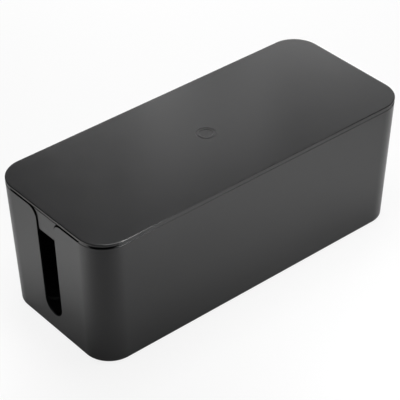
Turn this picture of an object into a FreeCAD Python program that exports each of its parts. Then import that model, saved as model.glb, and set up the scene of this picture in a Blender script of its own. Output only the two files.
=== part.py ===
import FreeCAD, Part
import math
import os

# Whole box, in millimetres: +X along the length, +Z up, origin on the ground under the middle
length = 400.0
width = 167.5
height = 150.0
corner_radius = 30.5
draft_angle = 2.1
overrun = 5.0

# Body, the open tray: its outer face is flush with the lid's edge and leans in towards the base
wall = 2.2
floor = 2.4
base_corner_radius = 28.8
base_edge_radius = 1.6
floor_cove_radius = 1.2
rim_edge_chamfer = 0.25

# Rim: the end walls and corners stop short of the lid, and a set-back lip on each long wall carries it
reveal = 2.5
lip_setback = 0.45
lip_end_inset = 1.5
lip_end_radius = 0.6

# Cable notch in each end wall, open at the top, with rounded shoulders and a half-round bottom
notch_width = 28.4
notch_bottom_radius = 13.4
notch_bottom_height = 35.2
shoulder_radius = 11.2

# Lid: a flat plate with locating ribs, stiffening ribs and a tongue that closes each notch's mouth
lid_thickness = 2.8
lid_top_radius = 1.0
lid_under_chamfer = 0.7
rib_clearance = 0.5
rib_thickness = 1.8
rib_depth = 7.0
rib_length = 318.0
rib_taper_angle = 1.5
cross_rib_count = 5
cross_rib_pitch = 58.0
cross_rib_depth = 3.0
cross_rib_thickness = 1.4

# Tongue, one at each end of the lid, hanging in the notch
tongue_gap = 1.5
tongue_setback = 1.3
tongue_thickness = 2.2
tongue_drop = 25.4
tongue_tip_narrowing = 0.5
tongue_corner_radius = 1.5
tongue_flare_width = 41.0
tongue_edge_chamfer = 0.3
gusset_leg = 11.0
gusset_thickness = 1.6
gusset_spacing = 15.0

# Moulding mark in the middle of the lid: a plain shallow disc with a ring and the gate's stub
mark_diameter = 20.5
mark_depth = 0.3
mark_ring_width = 1.6
gate_diameter = 3.0
gate_depth = 0.2

# Feet: rubber discs seated in round pockets, each pocket backed by a raised pad inside the box
foot_diameter = 22.0
foot_thickness = 3.2
foot_standout = 1.6
foot_edge_chamfer = 0.6
foot_clearance = 0.25
foot_inset_x = 40.0
foot_inset_y = 36.0
pad_wall = 3.0
pad_height = 1.4
pad_slope = 1.0

# Heights that the pieces share
lid_underside = height - lid_thickness
rim_height = lid_underside - reveal
base_height = foot_standout
floor_top = base_height + floor
lean = math.tan(math.radians(draft_angle))


def vec(x, y, z):
    return FreeCAD.Vector(x, y, z)


def rounded_rectangle(half_x, half_y, radius, z):
    """The eight edges of a rounded rectangle in plan: a quarter arc, then a side, four times."""
    centre_x = half_x - radius
    centre_y = half_y - radius
    arcs = []
    for side_x, side_y, start_angle in ((1, 1, 0), (-1, 1, 90), (-1, -1, 180), (1, -1, 270)):
        points = []
        for turn in (0, 45, 90):
            angle = math.radians(start_angle + turn)
            x = side_x * centre_x + radius * math.cos(angle)
            y = side_y * centre_y + radius * math.sin(angle)
            points.append(vec(x, y, z))
        arcs.append(points)
    edges = []
    for points, next_points in zip(arcs, arcs[1:] + arcs[:1]):
        edges.append(Part.Arc(*points).toShape())
        edges.append(Part.makeLine(points[2], next_points[0]))
    return edges


def wall_section(z, inset):
    """The plan outline of the leaning outer face at height z, drawn in by inset."""
    drop = lid_underside - z
    drop_share = drop / (lid_underside - base_height)
    half_x = length / 2 - lean * drop - inset
    half_y = width / 2 - lean * drop - inset
    radius = corner_radius + (base_corner_radius - corner_radius) * drop_share - inset
    return rounded_rectangle(half_x, half_y, radius, z)


def edges_at_height(shape, z, tolerance):
    """The edges that lie flat at height z."""
    found = []
    for edge in shape.Edges:
        box = edge.BoundBox
        if abs(box.ZMin - z) < tolerance and abs(box.ZMax - z) < tolerance:
            found.append(edge)
    return found


def drafted_block(sections, edge_radius):
    """A solid through (height, inset) sections of the walls, with a rounded lower edge."""
    outlines = [Part.Wire(wall_section(z, inset)) for z, inset in sections]
    block = Part.makeLoft(outlines, True, True)
    return block.makeFillet(edge_radius, edges_at_height(block, sections[0][0], edge_radius / 2))


def prism_along_x(wire, x_start, x_end):
    """A wire drawn in the YZ plane at x = 0, made solid from x_start to x_end."""
    moved = wire.copy()
    moved.translate(vec(x_start, 0, 0))
    return Part.Face(moved).extrude(vec(x_end - x_start, 0, 0))


def prism_along_y(points_xz, y_start, y_end):
    """A polygon in the XZ plane, made solid from y_start to y_end."""
    loop = [vec(x, y_start, z) for x, z in points_xz]
    return Part.Face(Part.makePolygon(loop + loop[:1])).extrude(vec(0, y_end - y_start, 0))


def box_between(low, high):
    return Part.makeBox(high[0] - low[0], high[1] - low[1], high[2] - low[2], vec(*low))


def arc_point(centre_y, centre_z, radius, degrees):
    angle = math.radians(degrees)
    return vec(0, centre_y + radius * math.cos(angle), centre_z + radius * math.sin(angle))


def mirrored(point):
    return vec(point.x, -point.y, point.z)


def notch_wire():
    """The cable notch seen from the end: shoulders, nearly upright sides, half-round bottom."""
    half = notch_width / 2
    shoulder_y = half + shoulder_radius
    shoulder_z = rim_height - shoulder_radius
    shoulder_top = vec(0, shoulder_y, rim_height)
    shoulder_mid = arc_point(shoulder_y, shoulder_z, shoulder_radius, 135)
    shoulder_low = vec(0, half, shoulder_z)
    side_low = vec(0, notch_bottom_radius, notch_bottom_height)
    bottom = vec(0, 0, notch_bottom_height - notch_bottom_radius)
    mouth = vec(0, shoulder_y, height + overrun)
    edges = [
        Part.makeLine(mouth, shoulder_top),
        Part.Arc(shoulder_top, shoulder_mid, shoulder_low).toShape(),
        Part.makeLine(shoulder_low, side_low),
        Part.Arc(side_low, bottom, mirrored(side_low)).toShape(),
        Part.makeLine(mirrored(side_low), mirrored(shoulder_low)),
        Part.Arc(mirrored(shoulder_low), mirrored(shoulder_mid), mirrored(shoulder_top)).toShape(),
        Part.makeLine(mirrored(shoulder_top), mirrored(mouth)),
        Part.makeLine(mirrored(mouth), mouth),
    ]
    return Part.Wire(edges)


def foot_centres():
    """The four foot positions in plan, keyed by the foot's name."""
    x = length / 2 - foot_inset_x
    y = width / 2 - foot_inset_y
    return {
        "foot_front_left": (-x, -y),
        "foot_front_right": (x, -y),
        "foot_rear_left": (-x, y),
        "foot_rear_right": (x, y),
    }


def wall_lip(side):
    """The lip on a long wall that carries the lid, its root sunk in the wall; side is -1 or 1."""
    lip_half = length / 2 - corner_radius - lip_end_inset
    outer = width / 2 - lip_setback
    near, far = sorted((side * outer, side * (outer - wall)))
    lip = box_between((-lip_half, near, rim_height - wall), (lip_half, far, lid_underside))
    ends = []
    for edge in lip.Edges:
        outside = abs(edge.BoundBox.Center.y) > outer - wall / 2
        if outside and edge.BoundBox.ZLength > reveal:
            ends.append(edge)
    return lip.makeFillet(lip_end_radius, ends)


def depth_in_wall(point):
    """How far a point lies inside the outer face, measured level in plan."""
    drop = lid_underside - point.z
    drop_share = drop / (lid_underside - base_height)
    radius = corner_radius + (base_corner_radius - corner_radius) * drop_share
    over_x = abs(point.x) - (length / 2 - lean * drop - radius)
    over_y = abs(point.y) - (width / 2 - lean * drop - radius)
    if over_x > 0 and over_y > 0:
        return radius - math.hypot(over_x, over_y)
    return radius - max(over_x, over_y)


def notch_edges(body):
    """The edges where the notches cut the outer face of the end walls."""
    found = []
    for edge in body.Edges:
        box = edge.BoundBox
        middle = edge.valueAt((edge.FirstParameter + edge.LastParameter) / 2)
        points = [vertex.Point for vertex in edge.Vertexes] + [middle]
        on_face = max(abs(depth_in_wall(point)) for point in points) < rim_edge_chamfer / 4
        in_notch = abs(middle.y) < notch_width / 2 + shoulder_radius
        if on_face and in_notch and box.ZMin > floor_top and box.ZMax < rim_height:
            found.append(edge)
    return found


def foot_pads():
    """Raised pads on the floor over the foot pockets, with a sloping side."""
    base_radius = foot_diameter / 2 + pad_wall + pad_slope
    top_radius = base_radius - pad_slope
    pads = []
    for x, y in foot_centres().values():
        cone = Part.makeCone(base_radius, top_radius, pad_height, vec(x, y, floor_top))
        root = Part.makeCylinder(base_radius, floor / 2, vec(x, y, floor_top - floor / 2))
        pads.append(cone.fuse(root))
    return pads


def box_body():
    """The moulded tray: leaning walls, rounded base, rim with lips, end notches, foot pockets."""
    rim_sections = [(rim_height - rim_edge_chamfer, 0), (rim_height, rim_edge_chamfer)]
    block = drafted_block([(base_height, 0)] + rim_sections, base_edge_radius)
    above = lid_underside + overrun
    cavity = drafted_block([(floor_top, wall), (above, wall)], floor_cove_radius)
    reach = length / 2 + overrun
    body = block.cut(cavity).cut(prism_along_x(notch_wire(), -reach, reach))
    body = body.makeChamfer(rim_edge_chamfer, notch_edges(body))
    for side in (-1, 1):
        body = body.fuse(wall_lip(side).cut(cavity))
    for pad in foot_pads():
        body = body.fuse(pad)
    pocket_radius = foot_diameter / 2 + foot_clearance
    pocket_depth = foot_thickness - foot_standout
    for x, y in foot_centres().values():
        low = vec(x, y, base_height - overrun)
        body = body.cut(Part.makeCylinder(pocket_radius, pocket_depth + overrun, low))
    return body.removeSplitter()


def tongue_profile():
    """The tongue seen from the end: it follows the notch's shoulders at an even gap."""
    half = notch_width / 2 - tongue_gap
    tip_half = half - tongue_tip_narrowing
    centre_y = notch_width / 2 + shoulder_radius
    centre_z = rim_height - shoulder_radius
    flare_radius = shoulder_radius + tongue_gap
    flare_y = tongue_flare_width / 2
    flare_rise = math.sqrt(flare_radius ** 2 - (centre_y - flare_y) ** 2)
    start_angle = 180 - math.degrees(math.asin(flare_rise / flare_radius))
    bottom_z = lid_underside - tongue_drop
    corner_z = bottom_z + tongue_corner_radius
    corner_y = tip_half - tongue_corner_radius
    top = vec(0, flare_y, lid_underside + lid_thickness / 2)
    flare_top = vec(0, flare_y, centre_z + flare_rise)
    flare_mid = arc_point(centre_y, centre_z, flare_radius, (start_angle + 180) / 2)
    flare_low = vec(0, half, centre_z)
    corner_top = vec(0, tip_half, corner_z)
    corner_mid = arc_point(corner_y, corner_z, tongue_corner_radius, -45)
    corner_low = vec(0, corner_y, bottom_z)
    half_edges = [
        (top, None, flare_top),
        (flare_top, flare_mid, flare_low),
        (flare_low, None, corner_top),
        (corner_top, corner_mid, corner_low),
    ]
    edges = []
    for start, middle, end in half_edges:
        if middle is None:
            edges.append(Part.makeLine(start, end))
            edges.append(Part.makeLine(mirrored(start), mirrored(end)))
        else:
            edges.append(Part.Arc(start, middle, end).toShape())
            edges.append(Part.Arc(mirrored(start), mirrored(middle), mirrored(end)).toShape())
    edges.append(Part.makeLine(corner_low, mirrored(corner_low)))
    edges.append(Part.makeLine(top, mirrored(top)))
    return Part.Wire(Part.sortEdges(edges)[0])


def tongue_face_x(z):
    """How far out the tongue's outer face lies at height z, parallel to the end wall."""
    return length / 2 - lean * (lid_underside - z) - tongue_setback


def tongue(side):
    """One tongue with its two gussets; side is -1 or 1."""
    low_z = lid_underside - tongue_drop - overrun
    high_z = lid_underside + lid_thickness / 2
    outer_low = tongue_face_x(low_z)
    outer_high = tongue_face_x(high_z)
    slab_points = [
        (side * outer_low, low_z),
        (side * outer_high, high_z),
        (side * (outer_high - tongue_thickness), high_z),
        (side * (outer_low - tongue_thickness), low_z),
    ]
    slab = prism_along_y(slab_points, -tongue_flare_width, tongue_flare_width)
    far = side * (length / 2 + overrun)
    near = side * (length / 2 - tongue_thickness - overrun)
    solid = prism_along_x(tongue_profile(), near, far).common(slab)
    face = solid.Faces[0]
    for candidate in solid.Faces:
        if side * candidate.CenterOfMass.x > side * face.CenterOfMass.x:
            face = candidate
    solid = solid.makeChamfer(tongue_edge_chamfer, lower_edges(face))
    root_x = tongue_face_x(lid_underside) - tongue_thickness / 2
    foot_z = lid_underside - gusset_leg
    gusset_points = [
        (side * root_x, high_z),
        (side * (root_x - gusset_leg), high_z),
        (side * (root_x - gusset_leg), lid_underside),
        (side * (tongue_face_x(foot_z) - tongue_thickness), foot_z),
        (side * (tongue_face_x(foot_z) - tongue_thickness / 2), foot_z),
    ]
    for place in (-gusset_spacing / 2, gusset_spacing / 2):
        start = place - gusset_thickness / 2
        solid = solid.fuse(prism_along_y(gusset_points, start, start + gusset_thickness))
    return solid


def lower_edges(face):
    """A tongue face's edges, without the one that is buried in the lid plate."""
    return [edge for edge in face.Edges if edge.BoundBox.ZMin < lid_underside]


def locating_rib(side):
    """A tapering rib under a long edge of the lid, just inside the long wall; side is -1 or 1."""
    root_y = width / 2 - wall - rib_clearance - lean * rib_depth
    tip_z = lid_underside - rib_depth
    taper = rib_depth * math.tan(math.radians(rib_taper_angle))
    root_z = lid_underside + lid_thickness / 2
    points = [
        vec(0, side * root_y, root_z),
        vec(0, side * root_y, tip_z),
        vec(0, side * (root_y - rib_thickness + taper), tip_z),
        vec(0, side * (root_y - rib_thickness), lid_underside),
        vec(0, side * (root_y - rib_thickness), root_z),
    ]
    wire = Part.makePolygon(points + points[:1])
    return prism_along_x(wire, -rib_length / 2, rib_length / 2)


def cross_ribs():
    """Low ribs across the underside of the lid, from one locating rib to the other."""
    reach = width / 2 - wall - rib_clearance - lean * rib_depth - rib_thickness / 2
    ribs = []
    for number in range(cross_rib_count):
        x = (number - (cross_rib_count - 1) / 2) * cross_rib_pitch
        low = (x - cross_rib_thickness / 2, -reach, lid_underside - cross_rib_depth)
        high = (x + cross_rib_thickness / 2, reach, lid_underside + lid_thickness / 2)
        ribs.append(box_between(low, high))
    return ribs


def moulding_mark(plate):
    """Sink the shallow disc into the plate, leaving its ring standing and the gate dimpled."""
    radius = mark_diameter / 2
    floor_z = height - mark_depth
    disc = Part.makeCylinder(radius, mark_depth + overrun, vec(0, 0, floor_z))
    ring_outer = Part.makeCylinder(radius - mark_ring_width, mark_depth, vec(0, 0, floor_z))
    ring_inner = Part.makeCylinder(
        radius - 2 * mark_ring_width, mark_depth, vec(0, 0, floor_z)
    )
    ring = ring_outer.cut(ring_inner)
    gate = Part.makeCylinder(
        gate_diameter / 2, gate_depth + mark_depth, vec(0, 0, floor_z - gate_depth)
    )
    return plate.cut(disc).fuse(ring).cut(gate)


def lid():
    """The lid in one moulding: plate, ribs, tongues and the moulding mark."""
    outline = rounded_rectangle(length / 2, width / 2, corner_radius, lid_underside)
    plate = Part.Face(Part.Wire(outline)).extrude(vec(0, 0, lid_thickness))
    tolerance = lid_thickness / 8
    plate = plate.makeFillet(lid_top_radius, edges_at_height(plate, height, tolerance))
    plate = plate.makeChamfer(lid_under_chamfer, edges_at_height(plate, lid_underside, tolerance))
    plate = moulding_mark(plate)
    for side in (-1, 1):
        plate = plate.fuse(locating_rib(side))
        plate = plate.fuse(tongue(side))
    for rib in cross_ribs():
        plate = plate.fuse(rib)
    return plate.removeSplitter()


def foot(x, y):
    """A rubber disc with its lower edge broken."""
    disc = Part.makeCylinder(foot_diameter / 2, foot_thickness, vec(x, y, 0))
    return disc.makeChamfer(foot_edge_chamfer, edges_at_height(disc, 0, foot_edge_chamfer / 2))


def export(name, shape):
    shape.exportStep("parts/" + name + ".step")
    volume = round(shape.Volume / 1000, 2)
    print(name, "solids", len(shape.Solids), "valid", shape.isValid(), "volume cm3", volume)


os.makedirs("parts", exist_ok=True)
export("box_body", box_body())
export("lid", lid())
for foot_name, centre in foot_centres().items():
    export(foot_name, foot(*centre))
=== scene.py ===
# %% [markdown]
# A cable management box, dressed for its picture
#
# The real box is two black injection mouldings: a deep tray that holds a power strip, and a
# flat lid that drops onto it. Four rubber discs under the tray keep it from sliding. The
# construction model already fixes their sizes, so this file gives the mouldings their smooth
# rounded surfaces and their finish, and adds a floor, light and a camera.

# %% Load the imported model
import math
import bpy
from mathutils import Matrix, Vector


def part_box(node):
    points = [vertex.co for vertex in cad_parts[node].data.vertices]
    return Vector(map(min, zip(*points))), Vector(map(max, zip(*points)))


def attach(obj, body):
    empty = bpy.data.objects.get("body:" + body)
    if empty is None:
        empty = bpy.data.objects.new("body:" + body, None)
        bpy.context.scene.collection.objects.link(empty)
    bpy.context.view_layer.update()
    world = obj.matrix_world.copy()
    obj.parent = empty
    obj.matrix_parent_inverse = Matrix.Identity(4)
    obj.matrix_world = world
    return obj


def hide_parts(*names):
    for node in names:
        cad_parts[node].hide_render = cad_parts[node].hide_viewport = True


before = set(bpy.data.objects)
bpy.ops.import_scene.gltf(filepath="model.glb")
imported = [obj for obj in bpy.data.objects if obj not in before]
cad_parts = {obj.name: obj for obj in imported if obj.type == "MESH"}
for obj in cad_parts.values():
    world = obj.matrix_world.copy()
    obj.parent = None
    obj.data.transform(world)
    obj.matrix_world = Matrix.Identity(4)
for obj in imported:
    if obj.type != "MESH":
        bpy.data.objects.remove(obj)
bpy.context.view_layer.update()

# %% [markdown]
# Sizes
#
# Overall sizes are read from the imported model, so the two models can't drift apart. The rest
# are the moulder's own sizes in millimetres: how far the walls lean so that the tray leaves its
# mould, how thick the walls are, and how far the rim stops short of the lid.

# %% Sizes shared by the pieces
MM = 0.001

lid_low, lid_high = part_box("lid")
tray_low, tray_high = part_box("box_body")
foot_low, foot_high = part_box("foot_front_left")

length = lid_high.x - lid_low.x
width = lid_high.y - lid_low.y
height = lid_high.z
lid_underside = tray_high.z
base_height = tray_low.z
corner_radius = 30.5 * MM
base_corner_radius = 28.8 * MM
draft = math.radians(2.1)
wall = 2.2 * MM
floor_thickness = 2.4 * MM
reveal = 2.5 * MM
rim_height = lid_underside - reveal
floor_top = base_height + floor_thickness
lean = math.tan(draft)
edge_round = 0.25 * MM

# How far a cutting shape runs past what it cuts
overrun = 5.0 * MM

# The walls lean in by lean * drop; the corners lose less radius than that on the way down
radius_gain = lean - (corner_radius - base_corner_radius) / (lid_underside - base_height)
print("outside, mm:", [round(v / MM, 1) for v in (length, width, height)])

# %% [markdown]
# Small helpers
#
# Everything with nodes in this file, shapes and finishes alike, is wired by one function. An
# outline is a list of points, and a round stretch in it comes from an arc formula, which is how
# a tool maker dimensions it too. A drawing holds an outline as a flat mesh that a tree can take
# in. Curves would do as well, but a mesh keeps exactly the points that it is given.

# %% Helpers: a node, a tree
def add_node(tree, kind, inputs=None, **settings):
    """Adds one node. An input takes a value, a socket, or a node for its first output."""
    node = tree.nodes.new(kind)
    for name, value in settings.items():
        setattr(node, name, value)
    for key, value in (inputs or {}).items():
        if isinstance(key, int):
            socket = node.inputs[key]
        else:
            socket = next(s for s in node.inputs if s.enabled and s.name == key)
        if isinstance(value, bpy.types.Node):
            value = next(s for s in value.outputs if s.enabled)
        if isinstance(value, bpy.types.NodeSocket):
            tree.links.new(value, socket)
        else:
            socket.default_value = value
    return node


def new_tree(name, inputs):
    """A geometry node tree with one geometry output and the inputs listed under their types."""
    tree = bpy.data.node_groups.new(name, "GeometryNodeTree")
    for socket_type, socket_names in inputs.items():
        for socket_name in socket_names:
            tree.interface.new_socket(socket_name, in_out="INPUT", socket_type=socket_type)
    tree.interface.new_socket("Geometry", in_out="OUTPUT", socket_type="NodeSocketGeometry")
    return tree


print("node helpers are ready in Blender", bpy.app.version_string)

# %% Helpers: an arc, a drawing
ROUND_STEPS = 6


def arc(centre, radius, start, end, steps):
    """Points on an arc in the drawing plane, from start to end in degrees."""
    points = []
    for step in range(steps + 1):
        angle = math.radians(start + (end - start) * step / steps)
        points.append((centre[0] + radius * math.cos(angle), centre[1] + radius * math.sin(angle)))
    return points


def drawing(name, points, plane, closed):
    """A flat mesh through the points, as a face or an open line, in the XZ or the YZ plane."""
    if plane == "XZ":
        corners = [(across, 0, up) for across, up in points]
    else:
        corners = [(0, across, up) for across, up in points]
    mesh = bpy.data.meshes.new(name)
    order = list(range(len(corners)))
    edges = [] if closed else list(zip(order, order[1:]))
    mesh.from_pydata(corners, edges, [order] if closed else [])
    return bpy.data.objects.new(name, mesh)


def drawings(shapes):
    """One drawing for each name, from its points, its plane and whether it is closed."""
    return {name: drawing(name, *shape) for name, shape in shapes.items()}


print("a small round is drawn in", ROUND_STEPS, "steps")

# %% [markdown]
# The rounded block, one rule for every big surface
#
# The tray's outside, the tray's hollow and the lid's plate are all the same kind of form: a
# rounded rectangle that changes a little from level to level. It could be modelled by hand
# with loops and bevels, but the form follows a rule, so nodes build it. A cylinder's rings
# are bent onto rounded rectangles: each point of a ring is a corner centre plus the corner
# radius along the point's own outward direction. First comes the way round a ring: which
# corner a point belongs to, and which way it faces.

# %% Rounded block: the way round a ring
CORNER_STEPS = 24
STATIONS = 4 * (CORNER_STEPS + 1)
QUARTER = math.tau / 4


def direction_parts(tree, angle):
    """The X and the Y part of the direction that an angle gives."""
    return [
        add_node(tree, "ShaderNodeMath", {0: angle}, operation=function)
        for function in ("COSINE", "SINE")
    ]


def ring_directions(tree, place):
    """A ring point's outward direction, and on which sides of the middle its corner lies."""
    # Which station round the ring, which corner, and how far round that corner
    angle = add_node(
        tree, "ShaderNodeMath", {0: place.outputs["Y"], 1: place.outputs["X"]}, operation="ARCTAN2"
    )
    turn = add_node(tree, "ShaderNodeMath", {0: angle, 1: STATIONS / math.tau}, operation="MULTIPLY")
    nearest = add_node(tree, "ShaderNodeMath", {0: turn}, operation="ROUND")
    station = add_node(
        tree, "ShaderNodeMath", {0: nearest, 1: float(STATIONS)}, operation="FLOORED_MODULO"
    )
    share = add_node(tree, "ShaderNodeMath", {0: station, 1: CORNER_STEPS + 1.0}, operation="DIVIDE")
    corner = add_node(tree, "ShaderNodeMath", {0: share}, operation="FLOOR")
    passed = add_node(
        tree, "ShaderNodeMath", {0: corner, 1: CORNER_STEPS + 1.0}, operation="MULTIPLY"
    )
    step = add_node(tree, "ShaderNodeMath", {0: station, 1: passed}, operation="SUBTRACT")
    part = add_node(tree, "ShaderNodeMath", {0: step, 1: float(CORNER_STEPS)}, operation="DIVIDE")
    quarters = add_node(tree, "ShaderNodeMath", {0: corner, 1: part}, operation="ADD")

    # The outward direction, and the corner that the station belongs to
    facing = add_node(tree, "ShaderNodeMath", {0: quarters, 1: QUARTER}, operation="MULTIPLY")
    direction = add_node(
        tree, "ShaderNodeCombineXYZ", dict(enumerate(direction_parts(tree, facing)))
    )
    middle = add_node(
        tree, "ShaderNodeMath", {0: corner, 1: QUARTER, 2: QUARTER / 2}, operation="MULTIPLY_ADD"
    )
    signs = [
        add_node(tree, "ShaderNodeMath", {0: side}, operation="SIGN")
        for side in direction_parts(tree, middle)
    ]
    return direction, add_node(tree, "ShaderNodeCombineXYZ", dict(enumerate(signs)))


print("points round a ring:", STATIONS)

# %% [markdown]
# The rounded block's levels
#
# A drawn profile says, level by level, how far the ring is drawn in from the lid's edge, and at
# what height it lies. The block has one ring for each point of the profile, so that a cove or
# an edge round is as fine as its drawing. All faces come out flat, and flat faces cut cleanly.

# %% Rounded block: the node group
BLOCK_SIZES = ["Length", "Width", "Corner radius", "Radius gain", "Top level"]


def profile_point(tree, given, place, rows):
    """The profile's point for a ring: drawn in by its X, at the height of its Z."""
    level = add_node(tree, "ShaderNodeMath", {0: place.outputs["Z"], 1: 0.5}, operation="ADD")
    row = add_node(tree, "ShaderNodeMath", {0: level, 1: rows}, operation="MULTIPLY")
    row_number = add_node(tree, "ShaderNodeMath", {0: row}, operation="ROUND")
    sampled = add_node(tree, "GeometryNodeSampleIndex", {
        "Geometry": given["Profile"],
        "Value": add_node(tree, "GeometryNodeInputPosition"),
        "Index": row_number,
    }, data_type="FLOAT_VECTOR")
    return add_node(tree, "ShaderNodeSeparateXYZ", {0: sampled}).outputs


def rounded_block_group():
    """Bends the rings of a cylinder onto rounded rectangles that follow a profile."""
    tree = new_tree("Rounded block", {
        "NodeSocketGeometry": ["Profile"], "NodeSocketFloat": BLOCK_SIZES,
    })
    given = add_node(tree, "NodeGroupInput").outputs
    size = add_node(tree, "GeometryNodeAttributeDomainSize", {"Geometry": given["Profile"]})
    rows = add_node(
        tree, "ShaderNodeMath", {0: size.outputs["Point Count"], 1: 1.0}, operation="SUBTRACT"
    )
    block = add_node(tree, "GeometryNodeMeshCylinder", {
        "Vertices": STATIONS, "Side Segments": rows, "Radius": 1.0, "Depth": 1.0,
    })
    place = add_node(tree, "ShaderNodeSeparateXYZ", {0: add_node(tree, "GeometryNodeInputPosition")})
    direction, sides = ring_directions(tree, place)
    profile = profile_point(tree, given, place, rows)

    # The corner radius, less the inset and plus what it gains on the way down
    drop = add_node(
        tree, "ShaderNodeMath", {0: given["Top level"], 1: profile["Z"]}, operation="SUBTRACT"
    )
    smaller = add_node(
        tree, "ShaderNodeMath", {0: given["Corner radius"], 1: profile["X"]}, operation="SUBTRACT"
    )
    radius = add_node(
        tree, "ShaderNodeMath", {0: drop, 1: given["Radius gain"], 2: smaller}, operation="MULTIPLY_ADD"
    )

    # Corner centre plus radius: half size less inset less radius, then out along the direction
    reach = add_node(tree, "ShaderNodeMath", {0: profile["X"], 1: radius}, operation="ADD")
    centre_parts = []
    for side in ("Length", "Width"):
        half = add_node(tree, "ShaderNodeMath", {0: given[side], 1: 2.0}, operation="DIVIDE")
        centre_parts.append(
            add_node(tree, "ShaderNodeMath", {0: half, 1: reach}, operation="SUBTRACT")
        )
    centre_sizes = add_node(tree, "ShaderNodeCombineXYZ", dict(enumerate(centre_parts)))
    centre = add_node(tree, "ShaderNodeVectorMath", {0: centre_sizes, 1: sides}, operation="MULTIPLY")
    outward = add_node(
        tree, "ShaderNodeVectorMath", {0: direction, "Scale": radius}, operation="SCALE"
    )
    plan = add_node(tree, "ShaderNodeVectorMath", {0: centre, 1: outward}, operation="ADD")
    up = add_node(tree, "ShaderNodeCombineXYZ", {2: profile["Z"]})
    target = add_node(tree, "ShaderNodeVectorMath", {0: plan, 1: up}, operation="ADD")
    bent = add_node(tree, "GeometryNodeSetPosition", {"Geometry": block, "Position": target})
    add_node(tree, "NodeGroupOutput", {"Geometry": bent})
    return tree


rounded_block = rounded_block_group()
print("rounded block:", len(rounded_block.nodes), "nodes")

# %% [markdown]
# Prisms
#
# The slots, tongues, gussets and long ribs have the same outline all along, and so have the
# bars that cut the lips to length. Each is a prism: a flat face, drawn once and made solid. A
# curve with a depth could do it, but an extruded face that keeps its start face is closed at
# both ends, which a boolean needs.

# %% Node group: prism
SAME_PLACE = 0.0001 * MM


def prism_group():
    """Makes a flat face solid, from where it lies to where the offset ends."""
    tree = new_tree("Prism", {
        "NodeSocketGeometry": ["Outline"], "NodeSocketVector": ["Offset"],
    })
    given = add_node(tree, "NodeGroupInput").outputs
    raised = add_node(tree, "GeometryNodeExtrudeMesh", {
        "Mesh": given["Outline"], "Offset": given["Offset"], "Individual": False,
    })
    start = add_node(tree, "GeometryNodeFlipFaces", {"Mesh": given["Outline"]})
    both = add_node(tree, "GeometryNodeJoinGeometry", {"Geometry": raised})
    tree.links.new(start.outputs["Mesh"], both.inputs["Geometry"])
    closed = add_node(tree, "GeometryNodeMergeByDistance", {"Geometry": both, "Distance": SAME_PLACE})
    add_node(tree, "NodeGroupOutput", {"Geometry": closed})
    return tree


prism = prism_group()
print("prism:", len(prism.nodes), "nodes")

# %% [markdown]
# What the trees share
#
# Every piece here is built from blocks, prisms, copies and booleans, and its tree ends the same
# way. No edge of a real moulding is sharp, so the tree marks each edge that bends by more than
# 34 degrees, and a bevel rounds what is marked. Edges could be picked by hand, but marks follow
# the shape when a size changes.

# %% Helpers: parts of a tree
SHARP_ANGLE = math.radians(34)
HALF_TURN = (0, 0, math.pi)


def block_from(tree, given, profile):
    """A rounded block that follows the profile held by an object input."""
    drawn = add_node(tree, "GeometryNodeObjectInfo", {"Object": given[profile]})
    inputs = {name: given[name] for name in BLOCK_SIZES}
    inputs["Profile"] = drawn.outputs["Geometry"]
    return add_node(tree, "GeometryNodeGroup", inputs, node_tree=rounded_block)


def prism_of(tree, given, outline, start, along):
    """A prism on the outline held by an object input, moved to its start first."""
    drawn = add_node(tree, "GeometryNodeObjectInfo", {"Object": given[outline]})
    moved = add_node(tree, "GeometryNodeTransform", {
        "Geometry": drawn.outputs["Geometry"], "Translation": start,
    })
    return add_node(tree, "GeometryNodeGroup", {"Outline": moved, "Offset": along}, node_tree=prism)


def copies_on(tree, places, piece):
    """A real copy of the piece on each of the places."""
    copies = add_node(tree, "GeometryNodeInstanceOnPoints", {"Points": places, "Instance": piece})
    return add_node(tree, "GeometryNodeRealizeInstances", {0: copies})


def joined(tree, operation, parts, first=None):
    """A boolean of the parts with each other, or of the parts and a first mesh."""
    inputs = {} if first is None else {"Mesh 1": first}
    node = add_node(tree, "GeometryNodeMeshBoolean", inputs, operation=operation, solver="EXACT")
    for mesh in parts:
        tree.links.new(mesh.outputs[0], node.inputs[1])
    return node


def finish_tree(tree, given, geometry, fine_radius=0.0, fine_share=1.0):
    """Ends a tree: marks its edges, weaker inside the fine radius, and gives it its finish."""
    bend = add_node(tree, "GeometryNodeInputMeshEdgeAngle").outputs["Unsigned Angle"]
    sharp = add_node(tree, "ShaderNodeMath", {0: bend, 1: SHARP_ANGLE}, operation="GREATER_THAN")
    place = add_node(tree, "ShaderNodeSeparateXYZ", {0: add_node(tree, "GeometryNodeInputPosition")})
    plan = add_node(tree, "ShaderNodeCombineXYZ", {0: place.outputs["X"], 1: place.outputs["Y"]})
    away = add_node(tree, "ShaderNodeVectorMath", {0: plan}, operation="LENGTH").outputs["Value"]
    coarse = add_node(tree, "ShaderNodeMath", {0: away, 1: fine_radius}, operation="GREATER_THAN")
    share = add_node(tree, "ShaderNodeMapRange", {"Value": coarse, "To Min": fine_share, "To Max": 1.0})
    weight = add_node(tree, "ShaderNodeMath", {0: sharp, 1: share}, operation="MULTIPLY")
    marked = add_node(tree, "GeometryNodeStoreNamedAttribute", {
        "Geometry": geometry, "Name": "bevel_weight_edge", "Value": weight,
    }, data_type="FLOAT", domain="EDGE")
    smooth = add_node(tree, "GeometryNodeSetShadeSmooth", {"Geometry": marked})
    solid = add_node(tree, "GeometryNodeRealizeInstances", {0: smooth})
    painted = add_node(tree, "GeometryNodeSetMaterial", {
        "Geometry": solid, "Material": given["Finish"],
    })
    add_node(tree, "NodeGroupOutput", {"Geometry": painted})


print("an edge is rounded where it bends by more than, degrees:", round(math.degrees(SHARP_ANGLE)))

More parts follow.
